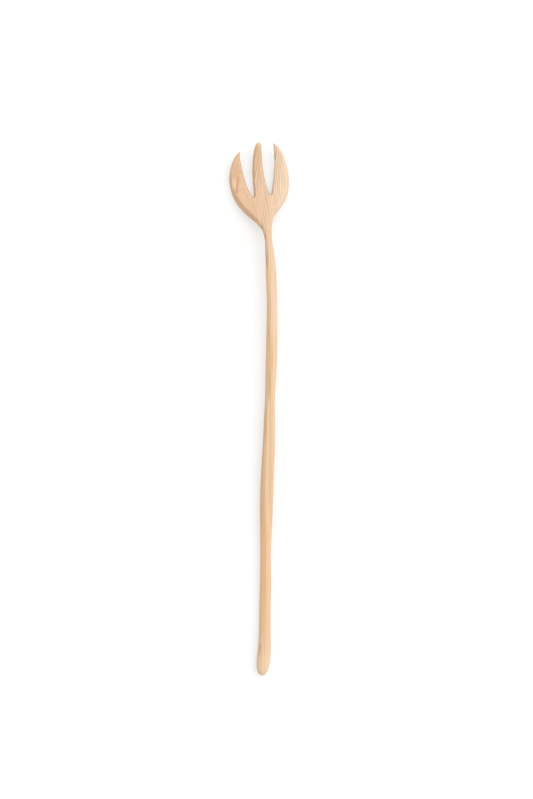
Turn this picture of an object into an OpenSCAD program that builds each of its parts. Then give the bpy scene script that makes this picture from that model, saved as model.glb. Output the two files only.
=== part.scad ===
// Long-handled wooden fork with three broad tines, carved from one stick.
// It lies on its back: +Y runs from the butt of the handle to the tines, +Z is up, and z = 0 is
// the surface it rests on. All sizes are in millimetres.

/* [Overall] */
// Length from the butt to the tip of the middle tine
fork_length = 360; // [320:5:400]
// Width across the outer tines
head_width = 40.4; // [36:0.2:46]
// Length of the head, from the neck to the tip of the middle tine
head_length = 60; // [54:1:68]

/* [Handle] */
// Mean width of the handle
handle_width = 7.8; // [7:0.1:10]
// Mean thickness of the handle
handle_thickness = 7.2; // [6:0.1:9]
// Height of the neck's underside above the resting surface
neck_rise = 4.8; // [3:0.1:7]

/* [Tines] */
// Thickness of the head where it rests
palm_thickness = 6.8; // [6:0.1:8]
// Thickness at the tips of the tines
tip_thickness = 3.2; // [2.6:0.1:4]
// Height of the tips' underside above the resting surface
tip_rise = 6.2; // [4:0.1:9]
// Width of the bevel along the slots' edges
slot_bevel = 1.2; // [0.8:0.1:1.4]
// How crisp the knife-cut edges are, from a full round to a flat bevel
edge_crispness = 1.5; // [1:0.1:2]

/* [Resting flats] */
// Depth sanded off the underside, which leaves a flat below the palm and one below the grip
flat_depth = 0.35; // [0.2:0.05:0.6]

/* [Hidden] */

neck = fork_length - head_length;    // distance from the butt to the neck
past_the_tips = 1.6;                 // how far the blank runs on past the middle tine
clear_of_the_blank = 14;             // how far a cutter reaches outside the blank
butt_round = 4;                      // length over which the butt is rounded off
butt_end = 0.4;                      // thickness left at the very end, as a share of the handle's
handle_step = 4;                     // spacing of the cross-sections along the handle
head_step = 1.5;                     // and along the head
arc_steps = 5;                       // points on each corner of a cross-section
flat_steps = 5;                      // points across the flat between two corners
curve_steps = 3;                     // points between two control points of a slot's outline
widest_belly = 0.9;                  // widest lower corner, as a share of a cross-section's half width
belly_rounding = 3;                  // width of the lower corners on a cross-section of no width
belly_growth = 0.3;                  // and how much of its half width is added to that
low_edge = 0.4;                      // how far the head's left edge is below mid thickness, as a share
high_edge = 0.15;                    // and how far its right edge is above it
edge_change = 12;                    // length of the head over which its edges get there
worn_crispness = 0.2;                // share of the edges' crispness that is left on the gripped end
worn_until = 0.45;                   // where the edges start to get crisper, as a share of the handle
crisp_from = 0.75;                   // and where they are fully crisp

// Outline of the handle, butt to neck: [% of its length, offset of its middle in mm, % of the mean
// width, then how much of the width is bevelled off on the left and on the right of the crest, in %]
HANDLE = [
    [0, -2.4, 40, 45, 35], [0.4, -2.5, 72, 45, 35], [1.4, -2.4, 103, 42, 32],
    [3.2, -1.8, 118, 38, 30], [6, -1.1, 113, 42, 36], [10, -0.8, 101, 50, 40],
    [15, -0.7, 100, 58, 38], [21, -0.3, 98, 60, 37], [27.5, -0.3, 92, 61, 35],
    [33, 0, 104, 57, 26], [39, 0.3, 114, 52, 13], [45, 0.9, 113, 48, 12],
    [51, 1.8, 107, 36, 14], [57, 2.3, 98, 30, 16], [60.5, 2.5, 90, 30, 18],
    [64, 2.8, 87, 62, 26], [69, 3.4, 97, 58, 34], [73, 3.8, 99, 50, 42],
    [77, 4, 98, 34, 50], [81, 4.1, 94, 24, 56], [84, 4.1, 91, 26, 56],
    [90, 3.4, 92, 34, 54], [95, 2.6, 79, 30, 54], [98, 1.6, 64, 26, 54]
];

// Outline of the head, neck to tips: [% of its length, left edge and right edge in % of its width,
// then the width of the bevel along each edge in mm]
HEAD = [
    [0, -5.8, 9.6, 1.5, 2.7], [5, -11, 9.6, 2.6, 2.9], [10, -18, 10.6, 3.5, 3.2],
    [15, -25.8, 12.8, 4, 3.4], [20, -34.1, 16.4, 4.2, 3.4], [30, -46.8, 27, 3.8, 3.2],
    [40, -55.1, 34.8, 2.7, 2.9], [50, -60, 38, 1.9, 2.6], [60, -61.8, 38.3, 1.4, 2.5],
    [70, -60.1, 36.7, 1.2, 2.3], [79, -56.2, 33.1, 1.2, 2], [85, -51.4, 30.1, 1.2, 1.8],
    [90, -44.6, 26.4, 1.1, 1.6], [95, -32, 20.7, 1.1, 1.4], [98.5, -22, 14.3, 1, 1.2],
    [103, -16, 5, 1, 1]
];

// Side profile of the handle: [% of its length, underside in % of neck_rise, % of handle_thickness]
HANDLE_PROFILE = [
    [0, -4, 94], [4, -7, 103], [10, -5, 102], [19, 2, 96], [31, 14, 98],
    [46, 32, 105], [60, 53, 99], [74, 75, 93], [86, 93, 93], [94, 99, 90]
];

// Side profile of the head: [% of its length, height of the underside, thickness]
HEAD_PROFILE = [
    [0, 0.93 * neck_rise, 0.9 * handle_thickness], [12, 0.7 * neck_rise, 0.96 * palm_thickness],
    [26, 0.25 * neck_rise, 1.02 * palm_thickness], [40, -flat_depth, palm_thickness],
    [52, -flat_depth, 0.86 * palm_thickness], [66, 0.2 * tip_rise, 0.7 * palm_thickness],
    [82, 0.56 * tip_rise, 1.2 * tip_thickness], [100, tip_rise, tip_thickness],
    [103, 1.08 * tip_rise, tip_thickness]
];

// Outlines of the slots on each side of the middle tine: [% of head_width, % of head_length, width
// of the bevel there in % of slot_bevel]. Each runs down the tine on its left to the root, and up
// the tine on its right.
LEFT_SLOT = [
    [-43.2, 108, 100], [-43.2, 97, 100], [-43.3, 88, 100], [-42.6, 80, 100], [-38.5, 67.5, 100],
    [-33, 54, 100], [-26.6, 44.6, 100], [-23.6, 40.8, 100], [-21.8, 39.2, 100],
    [-20.6, 40.8, 110], [-20.3, 45, 125], [-22.1, 57, 135], [-23, 69, 135], [-22.3, 81, 125],
    [-20.3, 90.5, 105], [-18.2, 95.8, 100], [-15.6, 99, 100], [-12.2, 100, 100],
    [-8, 101.6, 100], [-4, 108, 100]
];
RIGHT_SLOT = [
    [-20.4, 108, 100], [-16.4, 101.6, 100], [-12.2, 100, 100], [-9, 98.9, 100],
    [-7.2, 95.8, 100], [-7.2, 90.5, 100], [-6, 79, 100], [-3.6, 67, 100], [-0.6, 56.5, 100],
    [3.6, 47.5, 100], [6, 43.6, 100], [7.6, 42.4, 100], [8.8, 43.8, 90], [9.8, 48, 80],
    [11.6, 57, 75], [13, 68, 75], [13.8, 79, 80], [12.9, 89, 90], [12.3, 98, 100],
    [12.3, 108, 100]
];

// The two outlines and the two profiles joined up along the fork, in millimetres:
// [y, left edge, right edge, left bevel, right bevel] and [y, underside, thickness]
function along_handle(p) = neck * p / 100;
function along_head(p) = neck + head_length * p / 100;
OUTLINE = concat(
    [
        for (row = HANDLE)
            let (width = handle_width * row[2] / 100)
            [
                along_handle(row[0]), row[1] - width / 2, row[1] + width / 2,
                width * row[3] / 100, width * row[4] / 100
            ]
    ],
    [
        for (row = HEAD)
            [along_head(row[0]), head_width * row[1] / 100, head_width * row[2] / 100, row[3], row[4]]
    ]
);
PROFILE = concat(
    [
        for (row = HANDLE_PROFILE)
            [along_handle(row[0]), neck_rise * row[1] / 100, handle_thickness * row[2] / 100]
    ],
    [for (row = HEAD_PROFILE) [along_head(row[0]), row[1], row[2]]]
);
middle_x = (max([for (row = OUTLINE) row[2]]) + min([for (row = OUTLINE) row[1]])) / 2;

// Smooth value of column c of a table at y, a cubic through the table's own points.
function row_at(table, y, i = 0) =
    i >= len(table) - 2 || y < table[i + 1][0] ? i : row_at(table, y, i + 1);
function slope(table, i, c) =
    let (before = table[max(i - 1, 0)], after = table[min(i + 1, len(table) - 1)])
    (after[c] - before[c]) / (after[0] - before[0]);
function smooth(table, y, c) =
    let (
        i = row_at(table, y),
        span = table[i + 1][0] - table[i][0],
        t = min(max((y - table[i][0]) / span, 0), 1)
    )
    table[i][c] * (1 + 2 * t) * (1 - t) ^ 2 + slope(table, i, c) * span * t * (1 - t) ^ 2
    + table[i + 1][c] * t ^ 2 * (3 - 2 * t) - slope(table, i + 1, c) * span * t ^ 2 * (1 - t);

// Height of the middle of the wood at y, and half its thickness there.
function middle_height(y) = smooth(PROFILE, y, 1) + smooth(PROFILE, y, 2) / 2;
function butt_taper(y) =
    sqrt(1 - (1 - butt_end ^ 2) * (max(butt_round - y, 0) / butt_round) ^ 2);
function half_thickness(y) = smooth(PROFILE, y, 2) / 2 * butt_taper(y);

// How far a bevel's face has come in from the side, and how high it is, as shares of the bevel's
// width and height. It is at the side at angle 0, at the top at 90 and at the underside at -90.
function bevel_in(angle, crispness) = 1 - max(cos(angle), 0) ^ crispness;
function bevel_up(angle, crispness) = sign(angle) * abs(sin(angle)) ^ crispness;

// Crispness of the top's edges at y, which hands have worn round on the grip.
function crispness_at(y) =
    let (along = (y / neck - worn_until) / (crisp_from - worn_until))
    1 + (edge_crispness - 1) * min(max(along, worn_crispness), 1);

// One corner of a cross-section, from angle a to angle b.
function corner(edge, width, z, height, a, b, crispness) = [
    for (i = [0:arc_steps - 1])
        let (angle = a + (b - a) * i / arc_steps)
        [edge - width * bevel_in(angle, crispness), z + height * bevel_up(angle, crispness)]
];
function straight(a, b) = [for (i = [0:flat_steps - 1]) a + (b - a) * i / flat_steps];

// Cross-section of the blank at y, counter-clockwise seen from the butt.
// The top is flat between its bevels, and the underside is full like a boat's.
function section(y) =
    let (
        left = smooth(OUTLINE, y, 1),
        right = smooth(OUTLINE, y, 2),
        left_bevel = smooth(OUTLINE, y, 3),
        right_bevel = smooth(OUTLINE, y, 4),
        half = (right - left) / 2,
        belly = min(half * widest_belly, belly_rounding + belly_growth * half),
        h = half_thickness(y),
        top = middle_height(y) + h,
        bottom = top - 2 * h,
        on_head = min(max((y - neck) / edge_change, 0), 1),
        low = middle_height(y) - h * low_edge * on_head,
        high = middle_height(y) + h * high_edge * on_head,
        crispness = crispness_at(y)
    )
    [
        for (p = concat(
            corner(right, right_bevel, high, top - high, 0, 90, crispness),
            straight([right - right_bevel, top], [left + left_bevel, top]),
            corner(left, -left_bevel, low, top - low, 90, 0, crispness),
            corner(left, -belly, low, low - bottom, 0, -90, 1),
            straight([left + belly, bottom], [right - belly, bottom]),
            corner(right, belly, high, high - bottom, -90, 0, 1)
        )) [p.x, y, p.y]
    ];

// Closed skin over rings that all have the same number of points.
module skin(rings) {
    n = len(rings[0]);
    last = len(rings) - 1;
    sides = [
        for (j = [0:last - 1], i = [0:n - 1])
            let (a = j * n + i, b = j * n + (i + 1) % n)
            each [[a, b, b + n], [a, b + n, a + n]]
    ];
    polyhedron(
        [for (ring = rings) each ring],
        concat([[for (i = [n - 1:-1:0]) i]], sides, [[for (i = [0:n - 1]) last * n + i]])
    );
}

// The stick shaped to the fork's outline and side profile, before the slots are cut.
module blank() {
    butt_places = [0, 0.5, 1.2, 2.2, 3.6, 5.6, 8.4];
    handle_places = [for (y = [12:handle_step:neck - 14]) y];
    head_places = [for (y = [neck - 12:head_step:fork_length + past_the_tips]) y];
    skin([for (y = concat(butt_places, handle_places, head_places)) section(y)]);
}

// Smooth curve through a slot's control points, as [x, y, share of the bevel] in millimetres.
function slot_point(outline, i, t) =
    let (
        last = len(outline) - 1,
        p0 = outline[max(i - 1, 0)],
        p1 = outline[i],
        p2 = outline[i + 1],
        p3 = outline[min(i + 2, last)],
        p = p1 + t * (p2 - p0) / 2 + t ^ 2 * (p0 - 2.5 * p1 + 2 * p2 - p3 / 2)
            + t ^ 3 * (1.5 * p1 - p0 / 2 - 1.5 * p2 + p3 / 2)
    )
    [head_width * p.x / 100, along_head(p.y), p.z / 100];
function slot_curve(outline) = [
    for (i = [0:len(outline) - 2], k = [0:curve_steps - 1]) slot_point(outline, i, k / curve_steps)
];

// The curve moved out into the tines by its share of a distance, which bevels their edges.
function moved(curve, distance) = [
    for (i = [0:len(curve) - 1])
        let (
            along = curve[min(i + 1, len(curve) - 1)] - curve[max(i - 1, 0)],
            out = [along.y, -along.x] / norm([along.x, along.y])
        )
        [curve[i].x, curve[i].y] + distance * curve[i].z * out
];

// Cutter for the gap between two tines, flared towards both faces.
module slot_cutter(outline) {
    curve = slot_curve(outline);
    levels = [90, 70, 50, 25, 0, -25, -50, -70, -90];
    function level(angle) = [
        for (p = moved(curve, slot_bevel * bevel_in(angle, edge_crispness)))
            let (up = bevel_up(angle, edge_crispness))
            [p.x, p.y, middle_height(p.y) + half_thickness(p.y) * up]
    ];
    function lid(z) = [for (p = moved(curve, slot_bevel)) [p.x, p.y, z]];
    skin(concat(
        [lid(clear_of_the_blank + palm_thickness)],
        [for (angle = levels) level(angle)],
        [lid(-clear_of_the_blank)]
    ));
}

// The whole fork. Sanding the underside at z = 0 leaves the two flats that it rests on.
module carved_fork() {
    color("burlywood")
    translate([-middle_x, -fork_length / 2, 0])
    difference() {
        resize([0, fork_length, 0])
        difference() {
            blank();
            slot_cutter(LEFT_SLOT);
            slot_cutter(RIGHT_SLOT);
        }
        translate([-head_width, -1, -clear_of_the_blank])
            cube([2 * head_width, fork_length + 2, clear_of_the_blank]);
    }
}

carved_fork();
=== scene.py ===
"""The looks of a hand-carved wooden fork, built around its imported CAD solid.

The fork is one piece of pale hardwood. Its CAD solid is copied into a fine even skin, smoothed,
and whittled with shallow knife cuts. Its wood is a solid texture: year rings round the stick's
pith, with fibres, pores and one pin knot, so the figure runs through the handle, palm and tines
alike. It lies on a white board that glows faintly, in a soft tent of light that is brighter on
the upper right.
Lengths are in metres. Materials work in millimetres, and so do the names that end in _MM.
"""

import math

import bmesh
import bpy
import numpy as np
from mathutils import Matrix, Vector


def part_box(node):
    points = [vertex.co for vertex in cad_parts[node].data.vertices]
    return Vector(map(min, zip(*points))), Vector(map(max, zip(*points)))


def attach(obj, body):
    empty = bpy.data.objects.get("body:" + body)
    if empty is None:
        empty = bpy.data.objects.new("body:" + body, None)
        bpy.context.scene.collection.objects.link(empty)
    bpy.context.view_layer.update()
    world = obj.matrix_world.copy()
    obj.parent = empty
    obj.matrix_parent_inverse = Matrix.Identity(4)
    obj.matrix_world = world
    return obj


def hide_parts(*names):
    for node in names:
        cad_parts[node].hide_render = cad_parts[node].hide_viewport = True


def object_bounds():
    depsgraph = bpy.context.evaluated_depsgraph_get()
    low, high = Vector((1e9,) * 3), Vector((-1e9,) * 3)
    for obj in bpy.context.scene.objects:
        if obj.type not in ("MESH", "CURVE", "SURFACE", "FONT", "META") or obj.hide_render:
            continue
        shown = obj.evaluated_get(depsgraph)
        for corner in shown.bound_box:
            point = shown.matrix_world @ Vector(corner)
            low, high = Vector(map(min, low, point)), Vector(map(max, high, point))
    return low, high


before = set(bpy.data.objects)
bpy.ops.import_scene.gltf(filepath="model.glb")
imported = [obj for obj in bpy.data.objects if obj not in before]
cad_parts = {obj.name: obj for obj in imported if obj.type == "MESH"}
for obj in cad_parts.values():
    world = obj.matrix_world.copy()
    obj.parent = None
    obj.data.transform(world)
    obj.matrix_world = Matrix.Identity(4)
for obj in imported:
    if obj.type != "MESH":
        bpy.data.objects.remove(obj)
cad_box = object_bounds()

MM = 0.001
HEAD_LENGTH = 60 * MM      # from the neck to the tip of the middle tine
SEED = 7                   # for the places and sizes of the knife marks

# ---------------------------------------------------------------- skin

VOXEL = 0.38 * MM          # size of the skin's quads
SMOOTHING_ROUNDS = 7
SHRINK, GROW = 0.5, -0.53  # the two half steps of a round, which smooth without thinning the wood
BEND_ROUNDS = 3            # rounds that even out the measured curvature


def fine_skin(node):
    """An even skin of quads over a CAD node, as a mesh."""
    mesh = node.data.copy()
    bm = bmesh.new()
    bm.from_mesh(mesh)
    bmesh.ops.remove_doubles(bm, verts=bm.verts, dist=1e-6)
    bm.to_mesh(mesh)
    bm.free()
    block = bpy.data.objects.new("block", mesh)
    bpy.context.scene.collection.objects.link(block)
    remesh = block.modifiers.new("even", "REMESH")
    remesh.mode = "VOXEL"
    remesh.voxel_size = VOXEL
    evaluated = block.evaluated_get(bpy.context.evaluated_depsgraph_get())
    skin = bpy.data.meshes.new_from_object(evaluated)
    bpy.data.objects.remove(block)
    return skin


def rows_of(collection, name, width, kind):
    """A property of each item of a mesh collection, one row an item."""
    values = np.empty(len(collection) * width, kind)
    collection.foreach_get(name, values)
    return values.reshape(-1, width)


class Skin:
    """A mesh's points with the links between them, for work in numpy."""

    def __init__(self, mesh):
        self.mesh = mesh
        self.co = rows_of(mesh.vertices, "co", 3, np.float32).astype(float)
        self.a, self.b = rows_of(mesh.edges, "vertices", 2, np.int32).T
        count = len(self.co)
        self.valence = np.bincount(self.a, minlength=count) + np.bincount(self.b, minlength=count)

    def neighbour_mean(self, values):
        """Each point's mean over its neighbours of some values, one row a point."""
        a, b, count = self.a, self.b, len(values)
        total = [np.bincount(a, v[b], count) + np.bincount(b, v[a], count) for v in values.T]
        return np.stack(total, 1) / self.valence[:, None]

    def smooth(self, rounds):
        """Takes off CAD facets and voxel steps, and keeps the full thickness."""
        for _ in range(rounds):
            for step in (SHRINK, GROW):
                self.co = self.co + step * (self.neighbour_mean(self.co) - self.co)

    def write(self):
        self.mesh.vertices.foreach_set("co", self.co.astype(np.float32).ravel())
        self.mesh.update()
        self.mesh.shade_smooth()

    def normals(self):
        return rows_of(self.mesh.vertices, "normal", 3, np.float32).astype(float)

    def curvature(self, rounds):
        """How sharply the surface bends in 1/mm, above 0 on ridges and below 0 in hollows."""
        towards = self.neighbour_mean(self.co) - self.co
        bend = -2 * (towards * self.normals()).sum(1, keepdims=True) / VOXEL ** 2 * MM
        for _ in range(rounds):
            bend = 0.5 * bend + 0.5 * self.neighbour_mean(bend)
        return bend.ravel()


# ---------------------------------------------------------------- whittling

BIN = 1 * MM            # length of the slices in which the fork's section is measured
EVENING = 7             # how many slices each measure is averaged over
REST_MARGIN = 0.8 * MM  # the knife fades out this close to the surface that the fork rests on


def slice_extreme(y, s, places):
    """The greatest value of s in each slice of the fork, evened out along it."""
    index = np.clip(((y - places[0]) / BIN).round().astype(int), 0, len(places) - 1)
    best = np.full(len(places), -np.inf)
    np.maximum.at(best, index, s)
    known = np.isfinite(best)
    best = np.interp(places, places[known], best[known])
    padded = np.pad(best, EVENING // 2, mode="edge")
    return np.convolve(padded, np.ones(EVENING) / EVENING, mode="valid")


def off_the_rest(co):
    """A factor for each point that is 0 where the fork rests and 1 above the margin."""
    return np.clip((co[:, 2] - cad_box[0].z) / REST_MARGIN, 0, 1)


def knife_cut(co, places, angle, middle, length, depth):
    """Planes off a shallow scoop whose face looks out at an angle: 0 is right and 90 is up."""
    y = co[:, 1]
    near = np.abs(y - middle) < length
    out = np.array([math.cos(math.radians(angle)), 0, math.sin(math.radians(angle))])
    s = co @ out
    reach = np.interp(y, places, slice_extreme(y, s, places))
    scoop = depth * (1 - ((y - middle) / length) ** 2)
    excess = np.where(near, np.maximum(s - (reach - scoop), 0), 0) * off_the_rest(co)
    return co - excess[:, None] * out


MARK_REACH = 1.5 * MM   # a knife mark leaves alone what stands further than this from its plane
MARK_EDGE = 1.6         # where a mark ends, in its own half lengths
MARK_FADE = 0.6         # the last part of that, over which it fades out
DEEPEST = 1.3           # the most that a mark takes off, as a share of its depth


def knife_mark(co, point, normal, along, length, width, depth):
    """Slices a shallow facet off the surface at a point, longer along one direction than across."""
    reach = co - point
    up = reach @ normal
    out = np.hypot(reach @ along / length, reach @ np.cross(normal, along) / width)
    fade = np.clip(MARK_EDGE - out, 0, MARK_FADE) / MARK_FADE * (np.abs(up) < MARK_REACH)
    excess = np.clip(up + depth, 0, DEEPEST * depth) * fade * off_the_rest(co)
    return co - excess[:, None] * normal


LONG_FACETS = [
    # angle, middle and half length as shares of the handle, depth in mm
    (205, 0.30, 0.28, 0.16),
    (335, 0.36, 0.26, 0.16),
    (215, 0.75, 0.24, 0.22),
    (322, 0.80, 0.22, 0.22),
    (250, 0.55, 0.22, 0.20),
    (292, 0.62, 0.20, 0.20),
    (240, 0.90, 0.12, 0.18),
    (300, 0.16, 0.14, 0.18),
]
KNIFE_MARKS = 110
KNIFE_MARK_MM = ((7, 24), (0.04, 0.10))  # half length and depth, each from least to greatest
HEAD_MARKS = 44
HEAD_MARK_MM = (4.5, 2.2)                # half length and half width of a middling mark
HEAD_MARK_DEPTH_MM = (0.05, 0.12)


def whittle(co, butt, tip, rng):
    """Long flat facets along the handle, then shorter knife marks on it."""
    places = np.arange(co[:, 1].min(), co[:, 1].max() + BIN, BIN)
    neck = tip - HEAD_LENGTH
    handle = neck - butt
    for angle, middle, half, depth in LONG_FACETS:
        co = knife_cut(co, places, angle, butt + middle * handle, half * handle, depth * MM)
    lengths, depths = KNIFE_MARK_MM
    for _ in range(KNIFE_MARKS):
        angle, middle = rng.uniform(0, 360), rng.uniform(butt, neck)
        length, depth = rng.uniform(*lengths) * MM, rng.uniform(*depths) * MM
        co = knife_cut(co, places, angle, middle, length, depth)
    return co


def whittle_head(co, normals, bend, neck, rng):
    """Knife marks on the sides and underside of the head, each along the edge it is next to."""
    lower = np.flatnonzero((co[:, 1] > neck) & (normals[:, 2] < 0.35) & (bend > 0))
    for i in rng.choice(lower, HEAD_MARKS):
        normal = normals[i]
        along = np.cross((0, 0, 1), normal)
        if np.linalg.norm(along) < 0.3:
            along = np.array((0, 1, 0)) - normal[1] * normal
        along = along / np.linalg.norm(along)
        size = rng.uniform(0.6, 1.4)
        length, width = (size * reach * MM for reach in HEAD_MARK_MM)
        depth = rng.uniform(*HEAD_MARK_DEPTH_MM) * MM
        co = knife_mark(co, co[i], normal, along, length, width, depth)
    return co


def carve_fork(node):
    """The fork as a new piece: the CAD solid's skin, smoothed and whittled."""
    skin = Skin(fine_skin(node))
    skin.smooth(SMOOTHING_ROUNDS)
    skin.write()
    low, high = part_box(node.name)
    rng = np.random.default_rng(SEED)
    neck = high.y - HEAD_LENGTH
    skin.co = whittle_head(skin.co, skin.normals(), skin.curvature(BEND_ROUNDS), neck, rng)
    skin.co = whittle(skin.co, low.y, high.y, rng)
    skin.smooth(1)
    skin.co[:, 2] = np.maximum(skin.co[:, 2], low.z)
    skin.write()
    bend = skin.mesh.attributes.new("bend", "FLOAT", "POINT")
    bend.data.foreach_set("value", skin.curvature(BEND_ROUNDS).astype(np.float32))
    piece = bpy.data.objects.new("wooden_fork", skin.mesh)
    bpy.context.scene.collection.objects.link(piece)
    return piece


# ---------------------------------------------------------------- materials

class Nodes:
    """A material's nodes, made by short calls. A number, a colour or a node's output may go in."""

    def __init__(self, tree):
        self.tree = tree

    def put(self, socket, value):
        if isinstance(value, bpy.types.NodeSocket):
            self.tree.links.new(value, socket)
        elif hasattr(socket.default_value, "__len__") and not hasattr(value, "__len__"):
            socket.default_value = [value] * len(socket.default_value)
        else:
            socket.default_value = value

    def node(self, kind, inputs=(), out=0, **settings):
        made = self.tree.nodes.new("ShaderNode" + kind)
        for key, value in settings.items():
            setattr(made, key, value)
        pairs = inputs.items() if isinstance(inputs, dict) else enumerate(inputs)
        for key, value in pairs:
            if value is not None:
                self.put(made.inputs[key], value)
        return made.outputs[out]

    def math(self, operation, a, b=None, c=None, clamp=False):
        return self.node("Math", (a, b, c), operation=operation, use_clamp=clamp)

    def times(self, a, b):
        return self.math("MULTIPLY", a, b)

    def vector(self, operation, a, b=None):
        return self.node("VectorMath", (a, b), operation=operation)

    def scaled(self, vector, x, y, z):
        return self.vector("MULTIPLY", vector, (x, y, z))

    def length(self, vector):
        return self.node("VectorMath", (vector,), out="Value", operation="LENGTH")

    def part(self, vector, axis):
        return self.node("SeparateXYZ", (vector,), out=axis)

    def noise(self, at, scale=1.0, detail=2.0, roughness=0.5, out="Fac"):
        inputs = {"Vector": at, "Scale": scale, "Detail": detail, "Roughness": roughness}
        return self.node("TexNoise", inputs, out=out)

    def spread(self, value, low, high, to_low=0.0, to_high=1.0):
        """Value from low to high, smoothly and clamped, taken to to_low to to_high."""
        ends = {"From Min": low, "From Max": high, "To Min": to_low, "To Max": to_high}
        return self.node("MapRange", {"Value": value, **ends}, interpolation_type="SMOOTHSTEP")

    def mix(self, share, a, b, blend="MIX"):
        made = self.tree.nodes.new("ShaderNodeMix")
        made.data_type = "RGBA"
        made.blend_type = blend
        for socket, value in ((made.inputs[0], share), (made.inputs[6], a), (made.inputs[7], b)):
            self.put(socket, value)
        return made.outputs[2]

    def ramp(self, value, stops):
        made = self.tree.nodes.new("ShaderNodeValToRGB")
        ramp = made.color_ramp
        while len(ramp.elements) < len(stops):
            ramp.elements.new(0.5)
        for element, (place, grey) in zip(ramp.elements, stops):
            element.position = place
            element.color = (grey, grey, grey, 1)
        self.put(made.inputs[0], value)
        return made.outputs[0]


def new_material(name):
    """A material, its nodes and its shader."""
    material = bpy.data.materials.new(name)
    material.use_nodes = True
    return material, Nodes(material.node_tree), material.node_tree.nodes["Principled BSDF"]


def paint(red, green, blue):
    """A colour given in the 0 to 255 of a screen, as the linear colour that a shader takes."""
    def linear(c):
        c = c / 255
        return c / 12.92 if c <= 0.04045 else ((c + 0.055) / 1.055) ** 2.4
    return (linear(red), linear(green), linear(blue), 1)


EARLY_WOOD = paint(212, 186, 157)
LATE_WOOD = paint(170, 133, 101)
SAP_EARLY = paint(219, 196, 170)
SAP_LATE = paint(172, 135, 105)
ROSY_WOOD = paint(198, 159, 128)
HEARTWOOD_TINT = (0.94, 0.86, 0.81, 1)
DEEP_FIBRE = paint(189, 152, 117)
PORE = paint(158, 116, 82)
HONEY = paint(209, 173, 129)
PALE_HONEY = paint(219, 189, 152)
GOLDEN = paint(226, 180, 128)
DEEP_GOLDEN = paint(214, 164, 112)
CREAM = paint(214, 189, 156)
AMBER = paint(166, 108, 64)
KNOT_RIM = paint(204, 158, 116)
KNOT_CORE = paint(160, 104, 62)
END_GRAIN = paint(188, 149, 110)
# painted shade for the hollows at the slots' roots, where shade falls
HOLLOW_SHADE = paint(150, 104, 68)

PITH_MM = (-16, 0, 28)       # a point on the stick's pith, which runs along Y above the left tine
RING_MM = 1.35               # a year's growth
YEAR = [(0, 0.0), (0.45, 0.12), (0.78, 0.75), (0.9, 1.0), (1.0, 0.0)]  # its darkness in its course
KNOT_MM = (-14.1, 156, 8)    # the pin knot in the left tine
STREAK_MM = ((-14.2, 156.3), (-15.0, 146.2))  # its amber streak, from the knot to the head's edge
SAPWOOD_MM = (-16.9, 152.4)  # the pale patch beside the streak
TIP_SPOT_MM = (-0.3, 177.6)  # the pale end of the middle tine
ROSY_TIP_MM = (-1.5, 169.5)  # the rosier wood of the middle tine's upper half
PALE_TIP_MM = (-15, 170, 8)  # the middle of the paler wood towards the left tine's tip
BUMP_DEPTH = 0.06 * MM       # how far rings, pores and fibres stand up

# Growth lines along the handle: X, half width of the core and of the whole line, strength, the
# stretches of Y over which it fades in and out, and its colour.
PALE_LINE = (6.5, 0.4, 1.2, 0.5, (-95, -70), (20, -5), CREAM)
GOLDEN_LINES = [
    (6, 1, 2.4, 0.45, (15, 35), (106, 90), GOLDEN),
    (3.2, 0.8, 2.6, 0.45, (-158, -145), (-65, -85), DEEP_GOLDEN),
]


def year_rings(n, at, from_knot):
    """The wood's place after warping, its distance from the pith, and how dark its ring is."""
    wander = n.noise(n.scaled(at, 0.05, 0.014, 0.05), detail=1, out="Color")
    wander = n.vector("SUBTRACT", wander, (0.5, 0.5, 0.5))
    warped = n.vector("ADD", at, n.scaled(wander, 3, 0, 3))
    from_pith = n.length(n.scaled(n.vector("SUBTRACT", warped, PITH_MM), 1, 0, 1))
    radius = n.math("ADD", from_pith, n.spread(from_knot, 0, 5, 1.4, 0))
    uneven = n.noise(n.node("CombineXYZ", (radius, 0, 0)), scale=0.3, detail=1)
    phase = n.math("MULTIPLY_ADD", uneven, 1.6, n.math("DIVIDE", radius, RING_MM))
    ring = n.ramp(n.math("FRACT", phase), YEAR)
    fading = n.spread(n.noise(n.scaled(at, 0.3, 0.02, 0.3), detail=2), 0.3, 0.7, 0.4, 1)
    ring = n.times(ring, n.times(fading, n.spread(radius, 21.5, 27, 0.25, 1)))
    return warped, radius, ring


def plain_wood(n, at, radius, ring, pores):
    """The colour of the stick's wood before anything happened to it."""
    sap = n.spread(radius, 28, 36)
    wood = n.mix(sap, EARLY_WOOD, SAP_EARLY)
    wood = n.mix(ring, wood, n.mix(sap, LATE_WOOD, SAP_LATE))
    cloud = n.noise(n.scaled(at, 0.11, 0.035, 0.11), detail=3)
    clouded = n.times(n.spread(cloud, 0.35, 0.68, 0, 0.5), n.spread(radius, 22, 32, 1, 0.4))
    wood = n.mix(clouded, wood, ROSY_WOOD)
    from_tip = n.length(n.vector("SUBTRACT", at, PALE_TIP_MM))
    heart = n.times(n.spread(radius, 22.5, 27, 1, 0), n.spread(from_tip, 5, 16, 0.4, 1))
    wood = n.mix(heart, wood, HEARTWOOD_TINT, "MULTIPLY")
    fibre = n.noise(n.scaled(at, 3.2, 0.07, 3.2), detail=4, roughness=0.6)
    wood = n.mix(n.spread(fibre, 0.35, 0.75, 0, 0.4), wood, DEEP_FIBRE)
    return n.mix(n.times(pores, 0.3), wood, PORE)


def growth_line(n, wood, warped, y, line):
    """Wood with one pale or golden growth line along the handle."""
    x_mm, core, edge, strength, start, end, colour = line
    aside = n.math("ABSOLUTE", n.math("SUBTRACT", n.part(warped, "X"), x_mm))
    share = n.times(n.spread(aside, core, edge, strength, 0), n.spread(y, *start))
    return n.mix(n.times(share, n.spread(y, *end)), wood, colour)


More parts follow.
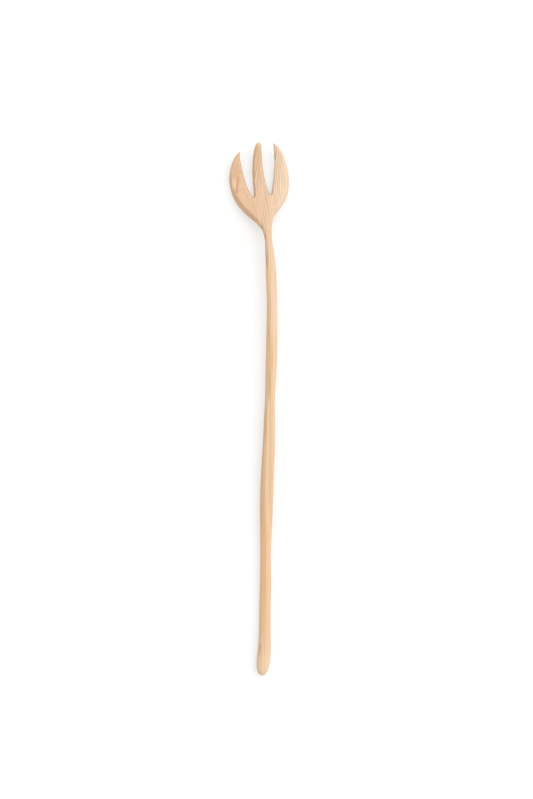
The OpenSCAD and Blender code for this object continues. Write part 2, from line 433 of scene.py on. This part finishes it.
def handled(n, wood, at, warped, y):
    """The grip, which hands have darkened to honey, with the lines that show along the handle."""
    grip = n.times(n.spread(y, 70, 0), n.spread(y, -168, -140))
    wood = n.mix(n.times(grip, 0.55), wood, HONEY)
    streaks = n.noise(n.scaled(at, 0.9, 0.006, 0.9), detail=2)
    wood = n.mix(n.times(grip, n.spread(streaks, 0.5, 0.6, 0, 0.45)), wood, ROSY_WOOD)
    wood = n.mix(n.times(grip, n.spread(streaks, 0.5, 0.4, 0, 0.3)), wood, CREAM)
    wood = growth_line(n, wood, warped, y, PALE_LINE)
    wood = n.mix(n.spread(y, -158, -170, 0, 0.45), wood, PALE_HONEY)
    for line in GOLDEN_LINES:
        wood = growth_line(n, wood, warped, y, line)
    return wood


def patch(n, at, centre, squeeze, core, edge, strength):
    """How strongly a soft-edged patch shows, whose reach along X and Y is one over the squeeze."""
    away = n.vector("SUBTRACT", at, (*centre, 0))
    return n.spread(n.length(n.scaled(away, *squeeze, 0)), core, edge, strength, 0)


def amber_streak(n, at):
    """How strongly the streak shows that runs from the pin knot to the edge."""
    x, y = n.part(at, "X"), n.part(at, "Y")
    (x0, y0), (x1, y1) = STREAK_MM
    along = n.math("DIVIDE", n.math("SUBTRACT", y, y0), y1 - y0, clamp=True)
    off_x = n.math("SUBTRACT", x, n.math("MULTIPLY_ADD", along, x1 - x0, x0))
    off_y = n.math("SUBTRACT", y, n.math("MULTIPLY_ADD", along, y1 - y0, y0))
    wobble = n.math("MULTIPLY_ADD", n.noise(at, scale=0.5, detail=1), 0.8, -0.4)
    off = n.length(n.node("CombineXYZ", (n.math("ADD", off_x, wobble), off_y, 0)))
    return n.spread(off, 0.15, 0.8, 0.68, 0)


def marked(n, wood, at, from_knot):
    """The pin knot, its streak, and the patches of paler and rosier wood on the tines."""
    near_top = n.spread(n.part(at, "Z"), 3.5, 6)
    pale = patch(n, at, SAPWOOD_MM, (0.65, 0.2), 0.5, 1.15, 0.6)
    wood = n.mix(n.times(pale, near_top), wood, CREAM)
    wood = n.mix(n.times(amber_streak(n, at), near_top), wood, AMBER)
    wood = n.mix(n.spread(from_knot, 0.5, 2.2, 0.45, 0), wood, KNOT_RIM)
    wood = n.mix(n.spread(from_knot, 0.25, 0.8, 0.8, 0), wood, KNOT_CORE)
    wood = n.mix(patch(n, at, TIP_SPOT_MM, (1, 1), 0.6, 1.8, 0.5), wood, CREAM)
    return n.mix(patch(n, at, ROSY_TIP_MM, (0.22, 0.12), 0.5, 1.15, 0.5), wood, ROSY_WOOD)


def wood_material():
    material, n, shader = new_material("carved_hardwood")
    at = n.scaled(n.node("TexCoord", out="Object"), 1000, 1000, 1000)
    y = n.part(at, "Y")
    from_knot = n.length(n.scaled(n.vector("SUBTRACT", at, KNOT_MM), 1, 0.4, 0.25))
    warped, radius, ring = year_rings(n, at, from_knot)
    fine = n.noise(n.scaled(at, 9, 0.5, 9), detail=3, roughness=0.6)
    pores = n.spread(n.noise(n.scaled(at, 7, 0.45, 7), detail=2), 0.66, 0.74)
    wood = plain_wood(n, at, radius, ring, pores)
    wood = handled(n, wood, at, warped, y)
    wood = marked(n, wood, at, from_knot)

    # End grain at the butt and the tips, edges burnished by hands, and painted shade that darkens
    # the hollows at the slots' roots.
    normal = n.node("TexCoord", out="Normal")
    endways = n.spread(n.math("ABSOLUTE", n.part(normal, "Y")), 0.55, 0.95)
    speckle = n.noise(n.scaled(at, 3.5, 3.5, 3.5), detail=4, roughness=0.7)
    wood = n.mix(n.times(endways, n.spread(speckle, 0.3, 0.7, 0.35, 0.8)), wood, END_GRAIN)
    bend = n.node("Attribute", out="Fac", attribute_name="bend")
    patchy = n.spread(n.noise(n.scaled(at, 0.5, 0.12, 0.5), detail=3), 0.35, 0.65, 0.4, 1)
    worn = n.times(n.spread(bend, 0.25, 0.9), patchy)
    # painted shade: darkens the hollows (where the surface bends inwards) at the slots' roots of
    # the head, where shade falls
    painted_hollow_shade = n.times(n.spread(bend, -0.75, -0.15, 0.45, 0), n.spread(y, 120, 140))
    wood = n.mix(n.times(worn, 0.45), wood, CREAM)
    n.put(shader.inputs["Base Color"], n.mix(painted_hollow_shade, wood, HOLLOW_SHADE))

    rough = n.math("MULTIPLY_ADD", fine, 0.16, 0.44)
    rough = n.math("MULTIPLY_ADD", ring, -0.05, rough)
    rough = n.math("MULTIPLY_ADD", worn, -0.1, rough)
    n.put(shader.inputs["Roughness"], n.math("MULTIPLY_ADD", endways, 0.15, rough))
    shader.inputs["Specular IOR Level"].default_value = 0.35
    height = n.math("MULTIPLY_ADD", ring, 0.18, n.times(fine, 0.5))
    height = n.math("MULTIPLY_ADD", pores, -0.8, height)
    bump = n.node("Bump", {"Height": height, "Strength": 0.35, "Distance": BUMP_DEPTH})
    n.put(shader.inputs["Normal"], bump)
    return material


BOARD_GREY = (0.42, 0.42, 0.42, 1)
BOARD_GLOW = (1, 1, 0.995, 1)
BOARD_GLOW_STRENGTH = 0.48


def floor_material():
    """A matt white board that glows faintly, as a light table does, which keeps shadows soft."""
    material, n, shader = new_material("white_board")
    shader.inputs["Base Color"].default_value = BOARD_GREY
    shader.inputs["Emission Color"].default_value = BOARD_GLOW
    shader.inputs["Emission Strength"].default_value = BOARD_GLOW_STRENGTH
    mottle = n.noise(n.node("TexCoord", out="Object"), scale=9, detail=3)
    n.put(shader.inputs["Roughness"], n.spread(mottle, 0.3, 0.7, 0.85, 0.95))
    shader.inputs["Specular IOR Level"].default_value = 0.1
    return material


# ---------------------------------------------------------------- stage

VIEW_CENTRE = (5.1 * MM, 6.7 * MM)  # the middle of what the camera sees of the floor
VIEW_HEIGHT = 544.1 * MM            # how much of the floor it sees from top to bottom
CAMERA_HEIGHT = 0.75
FLOOR_HALF = 3                      # half the board's side
FLOOR_GAP = 0.02 * MM               # keeps the board off the fork's rest faces
LIGHT_SIDE = (0.67, 0.52, 0.53)     # the bright side of the studio, as a direction
SKY_STRENGTH = 1.5
DIM_SKY = (0.36, 0.29, 0.235, 1)
BRIGHT_SKY = (1.0, 1.02, 1.04, 1)
WINDOW_PLACE = (1.3, 1.05, 1.95)
WINDOW_SIZE = 1.8
WINDOW_POWER = 18
WINDOW_COLOUR = (1, 0.99, 0.97)


def place_camera():
    data = bpy.data.cameras.new("camera")
    data.lens = data.sensor_width * CAMERA_HEIGHT / VIEW_HEIGHT
    camera = bpy.data.objects.new("camera", data)
    camera.location = (*VIEW_CENTRE, CAMERA_HEIGHT)
    bpy.context.scene.collection.objects.link(camera)
    bpy.context.scene.camera = camera


def place_floor():
    mesh = bpy.data.meshes.new("floor")
    corners = [(x * FLOOR_HALF, y * FLOOR_HALF, 0) for x, y in ((-1, -1), (1, -1), (1, 1), (-1, 1))]
    mesh.from_pydata(corners, [], [(0, 1, 2, 3)])
    floor = bpy.data.objects.new("floor", mesh)
    floor.location.z = cad_box[0].z - FLOOR_GAP
    mesh.materials.append(floor_material())
    bpy.context.scene.collection.objects.link(floor)


def place_lights():
    """A white tent, brighter on the window's side, and the window itself."""
    world = bpy.data.worlds.new("studio")
    world.use_nodes = True
    background = world.node_tree.nodes["Background"]
    n = Nodes(world.node_tree)
    outwards = n.node("TexCoord", out="Generated")
    towards = n.node(
        "VectorMath", (outwards, LIGHT_SIDE), out="Value", operation="DOT_PRODUCT"
    )
    share = n.node("MapRange", {"Value": towards, "From Min": -1, "From Max": 1})
    n.put(background.inputs["Color"], n.mix(share, DIM_SKY, BRIGHT_SKY))
    background.inputs["Strength"].default_value = SKY_STRENGTH
    bpy.context.scene.world = world
    light = bpy.data.lights.new("window", "AREA")
    light.size = WINDOW_SIZE
    light.energy = WINDOW_POWER
    light.color = WINDOW_COLOUR
    window = bpy.data.objects.new("window", light)
    window.location = WINDOW_PLACE
    window.rotation_euler = (-window.location).to_track_quat("-Z", "Y").to_euler()
    bpy.context.scene.collection.objects.link(window)


# ---------------------------------------------------------------- the scene

bpy.context.scene.view_settings.view_transform = "Standard"
place_camera()
place_floor()
place_lights()

fork = carve_fork(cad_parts["carved_fork"])
fork.data.materials.clear()
fork.data.materials.append(wood_material())
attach(fork, "root")
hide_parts("carved_fork")
